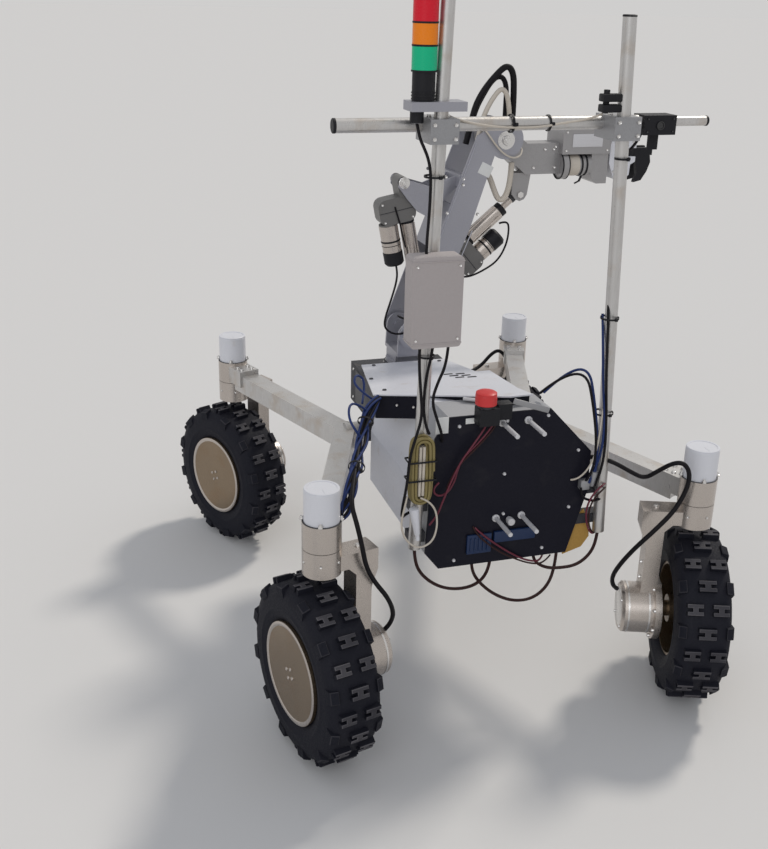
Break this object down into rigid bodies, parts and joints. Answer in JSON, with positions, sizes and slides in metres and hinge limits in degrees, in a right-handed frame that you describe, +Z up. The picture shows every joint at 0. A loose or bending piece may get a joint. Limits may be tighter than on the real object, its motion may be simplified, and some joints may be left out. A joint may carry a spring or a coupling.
{
  "type": "planetary rover prototype",
  "caption": "Wheeled rover with steered hub-motor wheels on V-shaped rockers, a boxy electronics body, sensor masts with a crossbar and signal light, and a slewing arm with a gripper.",
  "frame": {"origin": "on the floor, under the middle of the whole vehicle's box", "axes": "+X to the rover's right, +Y forward, away from the black rear plate, +Z up"},
  "size_m": [1.0188, 1.1892, 1.2453],
  "materials": {
    "tyre_rubber": "matte, dusty",
    "bare_alloy": "brushed, dull",
    "motor_case": "turned",
    "white_plastic": "satin",
    "white_sheet": "satin",
    "grey_sheet": "satin",
    "black_plate": "satin",
    "dark_frame": "satin",
    "steel": "satin",
    "black_plastic": "matte",
    "lens_green": "glossy",
    "lens_amber": "glossy",
    "lens_red": "glossy",
    "cream_plastic": "satin",
    "stop_red": "glossy",
    "grey_casting": "satin",
    "white_fitting": "satin",
    "cable_sleeve": "dull",
    "cable_olive": "dull"
  },
  "bodies": {
    "root": {"rear_box": "grey_sheet", "hull": "white_sheet", "hood": "white_sheet", "lid_frame": "black_plate", "chassis": "dark_frame", "rocker_left": "bare_alloy", "rocker_right": "bare_alloy", "steer_housings": "bare_alloy", "steer_caps": "white_plastic", "mast_left": "bare_alloy", "mast_right": "bare_alloy", "crossbar": "bare_alloy", "bar_clamps": "dark_frame", "mast_brackets": "dark_frame", "bar_sensor": "black_plate", "light_shelf": "steel", "light_base": "black_plastic", "light_green": "lens_green", "light_amber": "lens_amber", "light_red": "lens_red", "antenna_box": "cream_plastic", "cable_hank": "cable_olive", "rear_plate": "black_plate", "plate_rods": "steel", "stop_body": "black_plastic", "stop_button": "stop_red", "slew_drum": "black_plate", "loop_left": "cable_sleeve", "loop_middle": "cable_sleeve", "loop_right": "cable_sleeve"},
    "knuckle_rear_left": {"knuckle_rear_left": "bare_alloy", "hub_motor_rear_left": "motor_case"},
    "wheel_rear_left": {"tyre_rear_left": "tyre_rubber", "rim_rear_left": "bare_alloy"},
    "knuckle_rear_right": {"knuckle_rear_right": "bare_alloy", "hub_motor_rear_right": "motor_case"},
    "wheel_rear_right": {"tyre_rear_right": "tyre_rubber", "rim_rear_right": "bare_alloy"},
    "knuckle_front_left": {"knuckle_front_left": "bare_alloy", "hub_motor_front_left": "motor_case"},
    "wheel_front_left": {"tyre_front_left": "tyre_rubber", "rim_front_left": "bare_alloy"},
    "knuckle_front_right": {"knuckle_front_right": "bare_alloy", "hub_motor_front_right": "motor_case"},
    "wheel_front_right": {"tyre_front_right": "tyre_rubber", "rim_front_right": "bare_alloy"},
    "turret": {"turret": "bare_alloy"},
    "upper_arm": {"upper_arm": "bare_alloy"},
    "forearm": {"forearm": "grey_casting"},
    "gripper": {"gripper": "white_fitting"},
    "jaw_near": {"jaw_near": "black_plastic"},
    "jaw_far": {"jaw_far": "black_plastic"},
    "lift_body": {"lift_body": "grey_casting"},
    "lift_rod": {"lift_rod": "steel"},
    "bend_body": {"bend_body": "grey_casting"},
    "bend_rod": {"bend_rod": "steel"}
  },
  "joints": [
    {"name": "steer_rear_left", "type": "hinge", "parent": "root", "child": "knuckle_rear_left", "pos_m": [-0.3895, -0.4245, 0.393], "axis": [0, 0, 1], "range_deg": [-73.4, 46.6]},
    {"name": "roll_rear_left", "type": "hinge", "parent": "knuckle_rear_left", "child": "wheel_rear_left", "pos_m": [-0.3895, -0.4245, 0.165], "axis": [0.9728, 0.2317, 0], "continuous": true},
    {"name": "steer_rear_right", "type": "hinge", "parent": "root", "child": "knuckle_rear_right", "pos_m": [0.3125, -0.4245, 0.393], "axis": [0, 0, 1], "range_deg": [-40, 80]},
    {"name": "roll_rear_right", "type": "hinge", "parent": "knuckle_rear_right", "child": "wheel_rear_right", "pos_m": [0.3125, -0.4245, 0.165], "axis": [0.9397, -0.342, 0], "continuous": true},
    {"name": "steer_front_left", "type": "hinge", "parent": "root", "child": "knuckle_front_left", "pos_m": [-0.3895, 0.4245, 0.393], "axis": [0, 0, 1], "range_deg": [-85.4, 34.6]},
    {"name": "roll_front_left", "type": "hinge", "parent": "knuckle_front_left", "child": "wheel_front_left", "pos_m": [-0.3895, 0.4245, 0.165], "axis": [0.9033, 0.4289, 0], "continuous": true},
    {"name": "steer_front_right", "type": "hinge", "parent": "root", "child": "knuckle_front_right", "pos_m": [0.3125, 0.4245, 0.393], "axis": [0, 0, 1], "range_deg": [-65, 55]},
    {"name": "roll_front_right", "type": "hinge", "parent": "knuckle_front_right", "child": "wheel_front_right", "pos_m": [0.3125, 0.4245, 0.165], "axis": [0.9962, 0.0872, 0], "continuous": true},
    {"name": "arm_slew", "type": "hinge", "parent": "root", "child": "turret", "pos_m": [-0.0385, 0.21, 0.482], "axis": [0, 0, 1], "range_deg": [-30, 210]},
    {"name": "shoulder", "type": "hinge", "parent": "turret", "child": "upper_arm", "pos_m": [-0.0465, 0.21, 0.555], "axis": [0, 1, 0], "range_deg": [-20, 45]},
    {"name": "elbow", "type": "hinge", "parent": "upper_arm", "child": "forearm", "pos_m": [0.1445, 0.21, 0.962], "axis": [0, 1, 0], "range_deg": [-38, 8]},
    {"name": "wrist_roll", "type": "hinge", "parent": "forearm", "child": "gripper", "pos_m": [0.3938, 0.21, 0.935], "axis": [1, 0, 0], "range_deg": [-150, 150]},
    {"name": "jaws", "type": "hinge", "parent": "gripper", "child": "jaw_near", "pos_m": [0.4535, 0.194, 0.928], "axis": [0, 0, 1], "range_deg": [-20, 8]},
    {"name": "jaw_far_follows", "type": "hinge", "parent": "gripper", "child": "jaw_far", "pos_m": [0.4535, 0.226, 0.928], "axis": [0, 0, 1], "range_deg": [-8, 20]},
    {"name": "lift_tilt", "type": "hinge", "parent": "upper_arm", "child": "lift_body", "pos_m": [-0.0645, 0.21, 0.876], "axis": [0, 1, 0], "range_deg": [-1.02, 0.73]},
    {"name": "lift_slide", "type": "slide", "parent": "lift_body", "child": "lift_rod", "axis": [0.1973, 0, -0.9804], "range_m": [-0.038, 0.0175]},
    {"name": "bend_tilt", "type": "hinge", "parent": "upper_arm", "child": "bend_body", "pos_m": [0.0285, 0.21, 0.692], "axis": [0, 1, 0], "range_deg": [-0.6, 0.96]},
    {"name": "bend_slide", "type": "slide", "parent": "bend_body", "child": "bend_rod", "axis": [0.7555, 0, 0.6551], "range_m": [-0.0193, 0.0879]}
  ],
  "couplings": [
    {"joint": "jaw_far_follows", "follows": "jaws", "ratio": -1},
    {"joint": "lift_tilt", "follows": "shoulder", "ratio": -0.011522},
    {"joint": "lift_slide", "follows": "shoulder", "m_per_rad": -0.047155},
    {"joint": "bend_tilt", "follows": "elbow", "ratio": -0.012151},
    {"joint": "bend_slide", "follows": "elbow", "m_per_rad": -0.13103}
  ]
}
